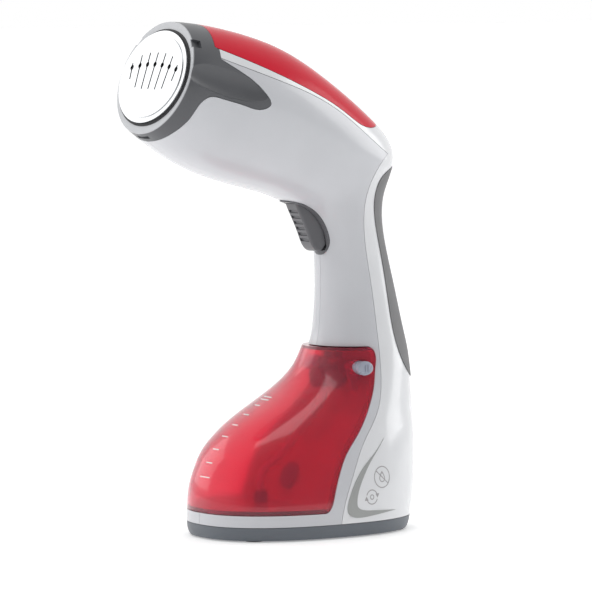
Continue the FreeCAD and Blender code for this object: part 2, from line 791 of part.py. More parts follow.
def make_chassis():
    """Inner moulding: deck under the tank and pump, wall behind the tank and roof over it."""
    gap = size("tank_gap")
    thick = 2.2
    wall = tank_region(gap + thick).cut(tank_region(gap))
    deck = block(-FAR, FAR, DECK_UNDER, DECK_TOP)
    shape = wall.fuse(deck.cut(tank_region(gap))).common(INSIDE)
    shape = both_halves(shape)
    shape = shape.cut(rod(size("valve_radius") + 1.3, (0, VALVE_Y - 15, VALVE_Z), (0, VALVE_Y + 15, VALVE_Z)))
    shape = shape.cut(rod(9.1, (0, VALVE_Y - 15, VALVE_Z), (0, VALVE_Y - 2.1, VALVE_Z)))
    flange = size("valve_radius") + 5.05
    shape = shape.cut(rod(flange, (0, VALVE_Y + SOCKET_BACK + 1.15, VALVE_Z), (0, VALVE_Y + 30, VALVE_Z)))
    shape = shape.cut(plug_bar(size("plug_radius") + 3.4, -9, 12))
    for x, y in BASE_SCREWS:
        shape = shape.cut(rod(size("screw_radius") + 0.05, (x, y, 0), (x, y, DECK_TOP + 1)))
    add_node("chassis", largest(shape))


BUSH_RADIUS = size("cord_bore") + 2.4
CORD_Z = size("cord_height") * ratio("tank_height")


def make_cord_bush():
    """Rubber bush in the back of the foot that the mains lead comes out of."""
    turned("cord_bush", [
        ("Sizes.cord_bore", "0"), ("Sizes.cord_bore + 5", "0"), ("Sizes.cord_bore + 5", "2.4"),
        ("Sizes.cord_bore + 2.4", "2.4"), ("Sizes.cord_bore + 2.4", "8.2"), ("Sizes.cord_bore + 1.8", "9"),
        ("Sizes.cord_bore", "9"),
    ], Placement(Vector(0, CORD_Y - 6.6, CORD_Z), TO_BACK))


# ---------------------------------------------------------------- steam head

LID_OUT = -27.2
LID_THICK = 2.6


def make_steam_plate():
    """Polished plate with a raised face, fanned slots and a steam hole in each slot."""
    rim = "2 * Sizes.plate_rim"
    depth = "Sizes.plate_thick + Sizes.plate_proud"
    back = oval_disc("plate_back", "Sizes.plate_width", "Sizes.plate_height", depth,
                     head_place(out=-size("plate_thick")))
    face = oval_disc("plate_face", f"Sizes.plate_width - {rim}", f"Sizes.plate_height - {rim}",
                     "Sizes.plate_step + 0.1", head_place(out=size("plate_proud") - 0.1))
    blank = fused("plate_blank", back, face)
    doc.recompute()
    plate = blank.Shape.copy()
    front = size("plate_proud") + size("plate_step")
    middle = (int(size("slot_count")) - 1) / 2
    for k in range(int(size("slot_count"))):
        place = (k - middle) / middle
        x = (k - middle) * size("slot_pitch")
        hole_up = 7.2 - 2.4 * place * place
        top = hole_up + 7.2 - 4.6 * place ** 4
        bottom = hole_up - 14.8 + 7.6 * place ** 4
        slot_start = Vector(-size("slot_width") / 2, bottom - hole_up, 0)
        slot = Part.makeBox(size("slot_width"), top - bottom, 4, slot_start)
        slot.Placement = head_place(x, hole_up, front - size("slot_depth")).multiply(
            Placement(Vector(), Rotation(Vector(0, 0, 1), -9 * place)))
        plate = plate.cut(slot)
        hole = Part.makeCylinder(size("steam_hole") / 2, 20)
        hole.Placement = head_place(x, hole_up, -12)
        plate = plate.cut(hole)
    add_node("steam_plate", largest(plate.removeSplitter()))


def make_plate_gasket():
    """Black heat-proof gasket between the plate and the ring."""
    ring = "2 * Sizes.gasket_width"
    outer = oval_disc("gasket_outer", f"Sizes.plate_width + {ring}", f"Sizes.plate_height + {ring}", "4.6",
                      head_place(out=-4.2))
    inner = oval_disc("gasket_inner", "Sizes.plate_width + 0.1", "Sizes.plate_height + 0.1", "8", head_place(out=-6))
    keep("plate_gasket", cut("plate_gasket_cut", outer, inner))


def make_heater():
    """Cast block behind the plate, with the bent heating element in a groove of its back."""
    start = -size("plate_thick")
    block_disc = oval_disc("block_disc", "Sizes.block_width", "Sizes.block_height", "Sizes.block_depth",
                           head_place(out=start - size("block_depth")))
    doc.recompute()
    back = start - size("block_depth")
    element = element_rod(0.0)
    groove = element_rod(0.05)
    body = block_disc.Shape.cut(groove)
    for x in (-21, 21):
        for up in (-12, 12):
            hole = Part.makeCylinder(size("screw_radius") + 0.02, 14)
            hole.Placement = head_place(x, up, back - 0.5)
            body = body.cut(hole)
    add_node("heater_block", largest(body))
    add_node("heating_element", element)
    lid = oval_disc("lid_disc", "Sizes.block_width - 2", "Sizes.block_height - 2", str(LID_THICK),
                    head_place(out=LID_OUT - LID_THICK))
    doc.recompute()
    shape = lid.Shape.cut(element_rod(0.6))
    for x in (-21, 21):
        for up in (-12, 12):
            hole = Part.makeCylinder(size("screw_radius") + 0.1, 14)
            hole.Placement = head_place(x, up, LID_OUT - 8)
            shape = shape.cut(hole)
    hole = Part.makeCylinder(3.05, 10)
    hole.Placement = head_place(0, NOZZLE_UP, LID_OUT - 6)
    shape = shape.cut(hole)
    add_node("chamber_lid", largest(shape))


NOZZLE_UP = -10.0


def element_rod(extra):
    """A U of round rod in the block, whose two ends come out through the lid."""
    bend = size("element_bend")
    radius = size("element_rod") + extra
    depth = -18.5
    arc = Part.Arc(Vector(-bend, 4, 0), Vector(0, 4 - bend, 0), Vector(bend, 4, 0)).toShape()
    left = Part.makeLine(Vector(-bend, 9, 0), Vector(-bend, 4, 0))
    right = Part.makeLine(Vector(bend, 4, 0), Vector(bend, 9, 0))
    ring = Part.Wire(Part.makeCircle(radius, Vector(-bend, 9, 0), Vector(0, 1, 0)))
    shape = Part.Wire([left, arc, right]).makePipeShell([ring], True, False)
    for x in (-bend, bend):
        shape = shape.fuse(Part.makeSphere(radius, Vector(x, 9, 0)))
        shape = shape.fuse(Part.makeCylinder(radius, 17 + extra, Vector(x, 9, 0), Vector(0, 0, -1)))
    shape.Placement = head_place(0, 0, depth)
    return shape


def make_head_parts():
    """Steam inlet, thermostat, thermal fuse and the heat shield round the block."""
    turned("steam_inlet", [
        ("1.4", "0"), ("3", "0"), ("3", "2.8"), ("5", "2.8"), ("5", "5"), ("Sizes.hose_bore - 0.05", "5"),
        ("Sizes.hose_bore - 0.05", "12"), ("0.7", "12"), ("0.7", "3"), ("1.4", "3"),
    ], flipped(head_place(0, NOZZLE_UP, LID_OUT)))
    turned("thermostat", [
        ("0", "0"), ("8", "0"), ("8", "5.4"), ("6.6", "6.4"), ("2", "6.4"), ("2", "9"), ("0", "9"),
    ], flipped(head_place(0, 8, LID_OUT - LID_THICK)))
    turned("thermal_fuse", [
        ("0", "0"), ("0.6", "0"), ("0.6", "4"), ("2", "5"), ("2", "15"), ("0.6", "16"), ("0.6", "20"), ("0", "20"),
    ], Placement(head_place(-10, -3.0, LID_OUT - LID_THICK - 2.0).Base, TO_LEFT))
    outer = oval_disc("shield_outer", "Sizes.block_width + 5", "Sizes.block_height + 5", "26", head_place(out=-34))
    inner = oval_disc("shield_inner", "Sizes.block_width + 3", "Sizes.block_height + 3", "26", head_place(out=-36))
    collar = oval_disc("shield_collar", "Sizes.block_width", "Sizes.block_height", "20", head_place(out=-20))
    keep("heat_shield", cut("heat_shield_cut", outer, fused("shield_bore", inner, collar)))


def flipped(placement):
    """The same place, with local Z turned to point back into the head."""
    return placement.multiply(Placement(Vector(), Rotation(Vector(1, 0, 0), 180)))


# ---------------------------------------------------------------- trigger

# The trigger's opening faces down and forward, square to the casing under the elbow.
SLOT_MID = at(2.8, 178.9)
SLOT_LEAN = 31.0
SLOT_HALF_LENGTH = 18.3


def rounded_bar(half, half_length, corner, deep):
    """A round-cornered bar through the casing's wall, square to it."""
    low = -deep / 2
    bar = Part.makeBox(2 * half, 2 * (half_length - corner), deep, Vector(-half, corner - half_length, low))
    bar = bar.fuse(Part.makeBox(2 * (half - corner) + 0.02, 2 * half_length, deep,
                                Vector(corner - half - 0.01, -half_length, low)))
    for x in (corner - half, half - corner):
        for y in (corner - half_length, half_length - corner):
            bar = bar.fuse(Part.makeCylinder(corner, deep, Vector(x, y, low)))
    bar = bar.removeSplitter()
    bar.Placement = Placement(Vector(0, *SLOT_MID), Rotation(Vector(1, 0, 0), 90 + SLOT_LEAN))
    return bar


def trigger_opening():
    half = size("trigger_width") / 2 + size("trigger_gap")
    return rounded_bar(half, SLOT_HALF_LENGTH, 2.5, 30.0)


def surround_bar(grow):
    """The frame's outline, with rounder ends than the opening."""
    half = size("trigger_width") / 2 + size("trigger_gap") + size("surround_width") + grow
    return rounded_bar(half, SLOT_HALF_LENGTH + size("surround_width") + grow, half - 1.5, 30.0)


def make_trigger_surround():
    """Dark frame round the trigger's opening."""
    outer = half_form(0.7)
    shape = surround_bar(0.0).common(outer).cut(INNER).cut(trigger_opening())
    add_node("trigger_surround", largest(both_halves(shape.common(block(-FAR, FAR, 0, FAR)))))


TRIGGER_SIDE = Seam(
    ("curve", body_points((-6.0, 192.2), (-3.6, 187.0), (-0.7, 181.4), (3.0, 173.2), (6.4, 166.6), (9.6, 164.2),
                          (12.6, 165.0))),
    ("line", body_points((12.6, 165.0), (14.6, 168.5), (13.2, 176.5), (13.2, 187.5), (6.0, 193.0), (5.0, 201.5))),
    ("curve", body_points((5.0, 201.5), (3.7, 204.7), (0.5, 206.0), (-2.7, 204.7), (-4.0, 201.5))),
    ("line", body_points((-4.0, 201.5), (-5.0, 196.5), (-6.0, 192.2))),
)
RIB_COUNT = 6
RIB_RADIUS = 1.0
RIB_START = 0.14
RIB_STEP = 0.105


def make_trigger():
    """Pull trigger with finger ribs, hung on a pin inside the head."""
    half = size("trigger_width") / 2
    shape = TRIGGER_SIDE.region(reach=2 * half, start=-half)
    front = TRIGGER_SIDE.edges()[0]
    first, last = front.ParameterRange
    for k in range(RIB_COUNT):
        spot = front.valueAt(first + (last - first) * (RIB_START + RIB_STEP * k))
        shape = shape.cut(rod(RIB_RADIUS, (-half + 1.4, spot.y, spot.z), (half - 1.4, spot.y, spot.z)))
    shape = shape.cut(rod(size("trigger_pin") + size("running_gap"), (-20, *PIVOT), (20, *PIVOT)))
    corner_edges = [e for e in shape.Edges if runs_along_flank(e, half)]
    shape = shape.makeFillet(1.2, corner_edges)
    add_node("trigger", largest(shape))
    keep("trigger_pin", cylinder("trigger_pin_bar", "Sizes.trigger_pin", "Sizes.trigger_width + 10",
                                 Placement(Vector(-PIN_REACH, *PIVOT), TO_LEFT)))
    rear = at(14.5, 169.5)
    seat = at(25.8, 169.5)
    spring = coil(2.3, 0.3, seat[0] - rear[0] - 0.7, 6)
    add_node("trigger_spring", spring, Placement(Vector(0, rear[0] + 0.35, rear[1]), TO_BACK))


def runs_along_flank(edge, half):
    """True for the front outline's edge on either flank of the trigger."""
    box_of = edge.BoundBox
    on_flank = abs(abs(box_of.XMin) - half) < 1e-3 and box_of.XLength < 1e-3
    return on_flank and box_of.ZLength > 20 and box_of.YMax < at(13.0, 165)[0]


def make_switch():
    """Micro switch behind the trigger, on a bracket that spans the casing."""
    front = at(17.2, 182)[0]
    height = at(17.2, 182)[1]
    case = box("switch_case", "Sizes.switch_width", "20", "13",
               Placement(Vector(0, front + 10, height - 7), Rotation()))
    hole = cylinder("switch_bore", "Sizes.plunger_radius + Sizes.running_gap", "6",
                    Placement(Vector(0, front - 1, height), TO_BACK))
    keep("micro_switch", cut("micro_switch_cut", case, hole))
    tip = at(13.2, 182)[0] + 0.3
    plunger = cylinder("plunger_bar", "Sizes.plunger_radius", str(front + 2.2 - tip),
                       Placement(Vector(0, tip, height), TO_BACK))
    keep("switch_plunger", plunger)
    shelf = height - 7
    seat = at(25.8, 169.5)[0]
    under = shelf - 1.8
    outline = Seam(("line", [(front, shelf), (front + 21, shelf), (front + 21, under), (seat + 1.8, under),
                             (seat + 1.8, shelf - 12), (seat, shelf - 12), (seat, under), (front, under),
                             (front, shelf)]))
    shape = outline.region(start=0.0).common(INSIDE)
    add_node("switch_bracket", largest(both_halves(shape)))


# ---------------------------------------------------------------- tank


def make_tank():
    """Clear tank body, its welded back wall and the level ribs inside the floor."""
    wall = size("tank_wall")
    low = below(at(0, 15.8)[1] + wall)
    high = above(size("tank_height") - wall)
    cavity = TANK_INNER.cut(low).cut(high)
    shape = TANK_OUTER.common(tank_region(0.0)).cut(cavity)
    shape = both_halves(largest(shape))
    for side in (-1, 1):
        shape = shape.cut(button_bar(side, 0.35, 10, 50))
    add_node("tank_body", largest(shape))
    back = tank_region(0.0).cut(tank_region(-2.4))
    inside = half_form(-wall - 0.05, TANK_TOP, past=6.0)
    room = block(-FAR, FAR, at(0, 15.8)[1] + wall + 0.05, size("tank_height") - wall - 0.05)
    back = both_halves(back.common(inside).common(room))
    back = back.cut(rod(size("valve_radius") + 0.02, (0, VALVE_Y - 12, VALVE_Z), (0, VALVE_Y + 9, VALVE_Z)))
    back = back.cut(rod(8.65, (0, VALVE_Y - 12, VALVE_Z), (0, VALVE_Y - 2.55, VALVE_Z)))
    back = back.cut(plug_bar(size("plug_radius") + 0.05, -9, 9))
    for side in (-1, 1):
        back = back.cut(arm_slot(side))
    add_node("tank_back", largest(back))


def button_bar(side, grow, start, end):
    """The release button's oval section as a bar out to one side."""
    long_way = size("button_length") + 2 * grow
    tall = size("button_height") + 2 * grow
    turn = TO_LEFT if side > 0 else TO_RIGHT
    upright = Placement(Vector(side * start, BUTTON_Y, BUTTON_Z), turn)
    return oval_prism(tall, long_way, end - start, upright)


ARM_HALF = 2.6
BUTTON_ROOT = 18.0
BUTTON_TRAVEL = 2.5


def arm_slot(side):
    """The way through the tank's back for a latch arm, with room for its travel."""
    low_x = BUTTON_ROOT - BUTTON_TRAVEL - 0.6
    high_x = BUTTON_ROOT + 3.0
    slot = block(BUTTON_Y, BUTTON_Y + 30, BUTTON_Z - ARM_HALF - 0.4, BUTTON_Z + ARM_HALF + 0.4, low_x, high_x)
    return slot if side > 0 else mirrored(slot)


def make_release_buttons():
    """Two push buttons on the tank's neck, each with a latch arm and a tapered guide under it."""
    reach = size("button_reach")
    face = button_bar(1, 0.0, BUTTON_ROOT, reach)
    rim = [e for e in face.Edges if e.BoundBox.XMin > reach - 0.01]
    face = face.makeFillet(1.4, rim)
    grip = None
    for shift in (-1.0, 1.0):
        mid_y = BUTTON_Y + shift
        bar = block(mid_y - 0.4, mid_y + 0.4, BUTTON_Z - 2, BUTTON_Z + 2, reach - 0.5, reach + 1)
        grip = bar if grip is None else grip.fuse(bar)
    face = face.cut(grip)
    end_y = min(VALVE_Y + 0.2, BUTTON_Y + 8.4)
    arm = block(BUTTON_Y - 3, end_y, BUTTON_Z - ARM_HALF, BUTTON_Z + ARM_HALF, BUTTON_ROOT, BUTTON_ROOT + 2.2)
    corners = [(BUTTON_Y - 5, BUTTON_Z - 2), (BUTTON_Y - 1.0, BUTTON_Z - 14), (BUTTON_Y + 1.0, BUTTON_Z - 14),
               (BUTTON_Y + 4.5, BUTTON_Z - 2), (BUTTON_Y - 5, BUTTON_Z - 2)]
    guide = Seam(("line", corners)).region(reach=2.2, start=BUTTON_ROOT)
    left = face.fuse(arm).fuse(guide).removeSplitter()
    add_node("release_button_left", largest(left))
    add_node("release_button_right", mirrored(largest(left)))
    for side, turn in ((1, TO_LEFT), (-1, TO_RIGHT)):
        name = "latch_spring_left" if side > 0 else "latch_spring_right"
        add_node(name, coil(1.9, 0.28, 6.4, 4), Placement(Vector(side * 11.1, BUTTON_Y, BUTTON_Z), turn))
    back_y = BUTTON_Y + 1.5
    seat = block(BUTTON_Y - 4, back_y + 1, BUTTON_Z - 4, BUTTON_Z + 4.6, 9.4, 10.6)
    bridge = block(BUTTON_Y - 4, back_y, BUTTON_Z + 3.4, BUTTON_Z + 4.6, 0, 10)
    roof = size("tank_height") - size("tank_wall") - 0.05
    rib = block(BUTTON_Y - 4, back_y, BUTTON_Z + 4.5, roof, 4.5, 5.5)
    half = seat.fuse(bridge).fuse(rib).common(tank_region(-2.5))
    carrier = both_halves(half)
    add_node("latch_carrier", carrier.removeSplitter())


def make_valve():
    """Spring valve on the tank's back: body, stem, spring, seal, and the socket it plugs into."""
    spot = Placement(Vector(0, VALVE_Y - 21, VALVE_Z), TO_BACK)
    body = turned("valve_body_blank", [
        ("0", "0"), ("6.4", "0"), ("6.4", "16.2"), ("8.6", "16.2"), ("8.6", "18.4"),
        ("Sizes.valve_radius", "18.4"), ("Sizes.valve_radius", "24.2"), ("Sizes.valve_radius - 0.9", "24.2"),
        ("Sizes.valve_radius - 0.9", "26.2"), ("Sizes.valve_radius", "26.2"), ("Sizes.valve_radius", "28"),
        ("3.4", "28"), ("3.4", "25"), ("Sizes.stem_radius + Sizes.running_gap", "25"),
        ("Sizes.stem_radius + Sizes.running_gap", "23"), ("4.2", "23"), ("4.2", "2"), ("0", "2"),
    ], spot)
    nodes.pop("valve_body_blank")
    doc.recompute()
    port = rod(1.7, (0, VALVE_Y - 15, VALVE_Z), (0, VALVE_Y - 15, VALVE_Z - 12))
    add_node("valve_body", largest(body.Shape.cut(port)))
    turned("valve_stem", [
        ("0", "19"), ("Sizes.stem_radius", "19"), ("Sizes.stem_radius", "20.8"), ("3.6", "20.8"), ("3.6", "22.8"),
        ("Sizes.stem_radius", "22.8"), ("Sizes.stem_radius", "26"), ("0", "26"),
    ], spot)
    add_node("valve_spring", coil(2.4, 0.3, 17.8, 8), spot.multiply(Placement(Vector(0, 0, 2.4), Rotation())))
    ring = doc.addObject("Part::Torus", "valve_seal_ring")
    bind(ring, Radius1="Sizes.valve_radius - 0.02", Radius2="0.85")
    keep("valve_seal", ring, spot.multiply(Placement(Vector(0, 0, 25.2), Rotation())))
    turned("inlet_socket", [
        ("Sizes.valve_radius + 0.88", "1.2"), ("Sizes.valve_radius + 5", "1.2"), ("Sizes.valve_radius + 5", "3.2"),
        ("Sizes.valve_radius + 2.6", "3.2"), ("Sizes.valve_radius + 2.6", "12.5"), ("Sizes.hose_bore - 0.05", "12.5"),
        ("Sizes.hose_bore - 0.05", "19"), ("0.6", "19"), ("0.6", "3.9"), ("2.2", "3.9"), ("2.2", "10.5"),
        ("Sizes.valve_radius + 0.88", "10.5"),
    ], Placement(Vector(0, VALVE_Y + SOCKET_BACK, VALVE_Z), TO_BACK))
    top = (0, VALVE_Y - 15, VALVE_Z - 6.35)
    low_y, low_z = at(-27, 24)
    knee = at(-12, 46)
    dip = [top, (0, VALVE_Y - 15, VALVE_Z - 14), (0, *knee), (0, low_y, low_z + 12), (0, low_y, low_z)]
    add_node("dip_tube", hose(dip, 9.0, 2.2, 1.5))
    turned("strainer", [
        ("2.25", "2"), ("4.2", "0"), ("4.2", "-5"), ("0", "-5"), ("0", "-1.2"), ("1.5", "-0.4"), ("2.25", "-0.2"),
    ], Placement(Vector(0, low_y, low_z), Rotation()))


def make_filler_plug():
    """Soft plug in the tank's back, with a finger tab."""
    blank = turned("filler_plug_blank", [
        ("0", "-4.4"), ("Sizes.plug_radius - 1.4", "-4.4"), ("Sizes.plug_radius", "-3.4"), ("Sizes.plug_radius", "1.6"),
        ("Sizes.plug_radius + 2.2", "1.6"), ("Sizes.plug_radius + 2.2", "3.2"), ("0", "3.2"),
    ])
    nodes.pop("filler_plug_blank")
    doc.recompute()
    tab = Part.makeBox(9, 1.8, 4.2, Vector(-4.5, -0.9, 3.1))
    shape = blank.Shape.fuse(tab).removeSplitter()
    add_node("filler_plug", largest(shape), Placement(Vector(0, PLUG_Y, PLUG_Z), PLUG_TURN))


# ---------------------------------------------------------------- pump and hoses


PORT_X = 6.0
HOSE_OUT = size("valve_radius") + 2.6 + size("hose_radius") + 1.0


def make_pump():
    """Small pump on the deck behind the tank, on two rubber mounts, with both its ports on top."""
    y, z = at(46, 0)[0], DECK_TOP
    mount_height = 3.0
    case = box("pump_case", "Sizes.pump_size", "Sizes.pump_size", "Sizes.pump_size - 4",
               Placement(Vector(0, y, z + mount_height), Rotation()))
    parts = [case]
    top = z + mount_height + size("pump_size") - 4
    parts.append(cylinder("pump_barrel", "Sizes.pump_size / 2 - 3", "10",
                          Placement(Vector(0, y, top - 0.1), Rotation())))
    for side in (-1, 1):
        spot = Placement(Vector(side * PORT_X, y, top + 9), Rotation())
        parts.append(cylinder("port", "Sizes.hose_bore - 0.05", "8", spot))
    keep("pump", fused("pump_fuse", *parts))
    mounts = []
    for side in (-1, 1):
        one = Part.makeCylinder(5, mount_height, Vector(side * 8, y, z))
        mounts.append(one)
    add_node("pump_mounts", Part.makeCompound(mounts))
    start = top + 9.95
    radius, bore = size("hose_radius"), size("hose_bore")
    socket_y = VALVE_Y + SOCKET_BACK + 12.6
    inlet = [(0, socket_y + 0.05, VALVE_Z), (0, socket_y + 14, VALVE_Z), (-PORT_X, y, start + 17),
             (-PORT_X, y, start)]
    add_node("inlet_hose", hose(inlet, 4.6, radius, bore))
    nozzle = flipped(head_place(0, NOZZLE_UP, LID_OUT)).multVec(Vector(0, 0, 5.1))
    nozzle_far = flipped(head_place(0, NOZZLE_UP, LID_OUT)).multVec(Vector(0, 0, 32))
    middle = [at(55, 108), at(44, 160), at(41, 196), at(18, 217)]
    route = [(PORT_X, y, start), (PORT_X, y, start + 14), (HOSE_OUT, y + 4, VALVE_Z - 10),
             (HOSE_OUT, *middle[0]), (4, *middle[1]), (0, *middle[2]), (0, *middle[3]),
             tuple(nozzle_far), tuple(nozzle)]
    add_node("steam_hose", hose(route, 12.0, radius, bore))
    term_y = at(18, 0)[0]
    keep("terminal_block", box("terminal_bar", "17", "12", "11",
                               Placement(Vector(26, term_y + 16, z), Rotation())))



make_bezel()
make_top_cover()
make_rear_spine()
make_grip_pad()
make_inlays()
make_sides()
make_base_cover()
make_feet()
make_chassis()
make_cord_bush()
make_steam_plate()
make_plate_gasket()
make_heater()
make_head_parts()
make_screws()
make_trigger_surround()
make_trigger()
make_switch()
make_tank()
make_release_buttons()
make_valve()
make_filler_plug()
make_pump()

# ---------------------------------------------------------------- check and write

doc.recompute()
failed = [o.Name for o in doc.Objects if "Invalid" in o.State or "Error" in o.State]
if failed:
    raise RuntimeError(f"failed objects: {failed}")
bad = [label for label, obj in nodes.items()
       if obj.Shape.isNull() or not obj.Shape.isValid() or not obj.Shape.Solids]
if bad:
    raise RuntimeError(f"no valid solid: {bad}")

os.makedirs("parts", exist_ok=True)
for label, obj in nodes.items():
    obj.Shape.exportStep(f"parts/{label}.step")
    print(f"{label}: {len(obj.Shape.Solids)} solid(s), {obj.Shape.Volume / 1000:.2f} cm3")
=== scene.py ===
import math

import bmesh
import bpy
from mathutils import Matrix, Vector
from mathutils.bvhtree import BVHTree


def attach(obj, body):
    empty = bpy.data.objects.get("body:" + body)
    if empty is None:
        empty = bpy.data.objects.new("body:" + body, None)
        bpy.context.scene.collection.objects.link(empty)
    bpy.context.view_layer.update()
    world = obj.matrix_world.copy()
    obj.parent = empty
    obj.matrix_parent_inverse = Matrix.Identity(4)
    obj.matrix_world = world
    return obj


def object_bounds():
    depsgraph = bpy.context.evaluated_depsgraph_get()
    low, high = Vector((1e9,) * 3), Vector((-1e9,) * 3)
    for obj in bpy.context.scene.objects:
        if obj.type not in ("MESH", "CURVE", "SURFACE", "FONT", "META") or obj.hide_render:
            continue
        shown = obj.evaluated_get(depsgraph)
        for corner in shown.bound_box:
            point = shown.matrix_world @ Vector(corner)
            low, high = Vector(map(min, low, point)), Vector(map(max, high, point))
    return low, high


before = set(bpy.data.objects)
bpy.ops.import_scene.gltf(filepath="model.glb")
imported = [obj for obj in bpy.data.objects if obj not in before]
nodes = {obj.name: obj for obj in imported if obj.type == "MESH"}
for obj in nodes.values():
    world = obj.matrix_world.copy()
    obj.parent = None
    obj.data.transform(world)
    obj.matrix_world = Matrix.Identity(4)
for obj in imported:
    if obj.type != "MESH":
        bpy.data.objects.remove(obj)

cad_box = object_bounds()
steamer_height = cad_box[1].z

# ---------------------------------------------------------------- floor, lights and camera
# The steamer stands on a plain pale sweep with a large soft box in front, one behind and one overhead. The
# room round it is white and darkens towards +X, so that the gloss has something to mirror.

paper_white = (0.93, 0.93, 0.93, 1.0)
sweep_size = 14.0

sweep_bm = bmesh.new()
bmesh.ops.create_grid(sweep_bm, x_segments=2, y_segments=2, size=sweep_size)
sweep_mesh = bpy.data.meshes.new("studio_floor")
sweep_bm.to_mesh(sweep_mesh)
sweep_bm.free()
sweep = bpy.data.objects.new("studio_floor", sweep_mesh)
bpy.context.scene.collection.objects.link(sweep)
paper = bpy.data.materials.new("pale_paper")
paper.use_nodes = True
paper_shader = paper.node_tree.nodes["Principled BSDF"]
paper_shader.inputs["Base Color"].default_value = paper_white
paper_shader.inputs["Roughness"].default_value = 0.6
paper_shader.inputs["Specular IOR Level"].default_value = 0.15
paper_shader.inputs["Emission Color"].default_value = paper_white
paper_shader.inputs["Emission Strength"].default_value = 0.32
sweep_mesh.materials.append(paper)

room = bpy.data.worlds.new("white_room")
room.use_nodes = True
room_nodes = room.node_tree.nodes
room_links = room.node_tree.links
bearing = room_nodes.new("ShaderNodeTexCoord")
side_on = room_nodes.new("ShaderNodeSeparateXYZ")
fall_off = room_nodes.new("ShaderNodeMapRange")
fall_off.interpolation_type = "SMOOTHSTEP"
fall_off.inputs["From Min"].default_value = -0.2
fall_off.inputs["From Max"].default_value = 0.8
fall_off.inputs["To Min"].default_value = 1.0
fall_off.inputs["To Max"].default_value = 0.34
room_links.new(bearing.outputs["Generated"], side_on.inputs["Vector"])
room_links.new(side_on.outputs["X"], fall_off.inputs["Value"])
room_links.new(fall_off.outputs["Result"], room_nodes["Background"].inputs["Strength"])
room_nodes["Background"].inputs["Color"].default_value = (1.0, 1.0, 1.0, 1.0)
bpy.context.scene.world = room


def soft_box(name, spot, aim, width, power):
    """A square soft box at a spot, turned to face the aim point."""
    lamp = bpy.data.lights.new(name, "AREA")
    lamp.size = width
    lamp.energy = power
    stand = bpy.data.objects.new(name, lamp)
    stand.location = spot
    stand.rotation_euler = (Vector(aim) - Vector(spot)).to_track_quat("-Z", "Y").to_euler()
    bpy.context.scene.collection.objects.link(stand)


middle = (0.0, 0.0, steamer_height * 0.5)
soft_box("soft_box_front", (-1.7, -1.0, 0.9), (0.0, -0.1, 0.27), 1.4, 6.5)
soft_box("soft_box_rear", (0.5, 1.8, 0.7), middle, 1.0, 9.0)
soft_box("soft_box_top", (0.2, -0.2, 1.9), middle, 1.0, 5.0)

camera_data = bpy.data.cameras.new("camera")
camera = bpy.data.objects.new("camera", camera_data)
bpy.context.scene.collection.objects.link(camera)
camera_turn = math.radians(56.0)
camera_distance = 2.725
camera_height = 0.344
camera.location = (
    camera_distance * math.sin(camera_turn), -camera_distance * math.cos(camera_turn), camera_height)
looking_at = Vector((0.0, 0.0, 0.134))
camera.rotation_euler = (looking_at - camera.location).to_track_quat("-Z", "Y").to_euler()
camera_data.sensor_width = 36.0
camera_data.lens = 284.1
camera_data.shift_x = -3 / 592
camera_data.shift_y = 7 / 592
camera_data.clip_start = 0.05
bpy.context.scene.camera = camera
bpy.context.scene.view_settings.view_transform = "Standard"

# ---------------------------------------------------------------- foot: grey base cover and its screws
# The foot is a dish of grey ABS moulded with a fine spark-eroded texture. It screws up into the white shells
# and carries five rubber pads.


def moulding(name, colour, rough, grain_size, grain_depth, mottle=0.05, coat=0.0):
    """Injection-moulded plastic: faint flow mottling, uneven gloss, and the tool's grain as bump."""
    mat = bpy.data.materials.new(name)
    mat.use_nodes = True
    tree = mat.node_tree
    shader = tree.nodes["Principled BSDF"]
    where = tree.nodes.new("ShaderNodeTexCoord")
    flow = tree.nodes.new("ShaderNodeTexNoise")
    flow.inputs["Scale"].default_value = 34.0
    flow.inputs["Detail"].default_value = 4.0
    tint = tree.nodes.new("ShaderNodeValToRGB")
    tint.color_ramp.elements[0].position = 0.3
    tint.color_ramp.elements[1].position = 0.7
    tint.color_ramp.elements[0].color = tuple(c * (1 - mottle) for c in colour) + (1.0,)
    tint.color_ramp.elements[1].color = tuple(min(1.0, c * (1 + mottle)) for c in colour) + (1.0,)
    gloss = tree.nodes.new("ShaderNodeMapRange")
    gloss.inputs["To Min"].default_value = rough * 0.85
    gloss.inputs["To Max"].default_value = rough * 1.2
    wipe = tree.nodes.new("ShaderNodeTexNoise")
    wipe.inputs["Scale"].default_value = 90.0
    wipe.inputs["Detail"].default_value = 3.0
    grain = tree.nodes.new("ShaderNodeTexNoise")
    grain.inputs["Scale"].default_value = 1.0 / grain_size
    grain.inputs["Detail"].default_value = 2.0
    bump = tree.nodes.new("ShaderNodeBump")
    bump.inputs["Distance"].default_value = grain_depth
    bump.inputs["Strength"].default_value = 0.6
    link = tree.links.new
    for texture in (flow, wipe, grain):
        link(where.outputs["Object"], texture.inputs["Vector"])
    link(flow.outputs["Fac"], tint.inputs["Fac"])
    link(tint.outputs["Color"], shader.inputs["Base Color"])
    link(wipe.outputs["Fac"], gloss.inputs["Value"])
    link(gloss.outputs["Result"], shader.inputs["Roughness"])
    link(grain.outputs["Fac"], bump.inputs["Height"])
    link(bump.outputs["Normal"], shader.inputs["Normal"])
    shader.inputs["Coat Weight"].default_value = coat
    shader.inputs["Coat Roughness"].default_value = 0.08
    return mat


def give(material, *names):
    """Puts the finish on these CAD nodes."""
    for name in names:
        slots = nodes[name].data.materials
        slots.clear()
        slots.append(material)


base_plastic = moulding("base_grey_abs", (0.115, 0.13, 0.15), 0.42, 0.0004, 0.00004)
give(base_plastic, "base_cover")
pad_rubber = moulding("foot_rubber", (0.02, 0.02, 0.021), 0.75, 0.0006, 0.00006)
give(pad_rubber, "rubber_feet")


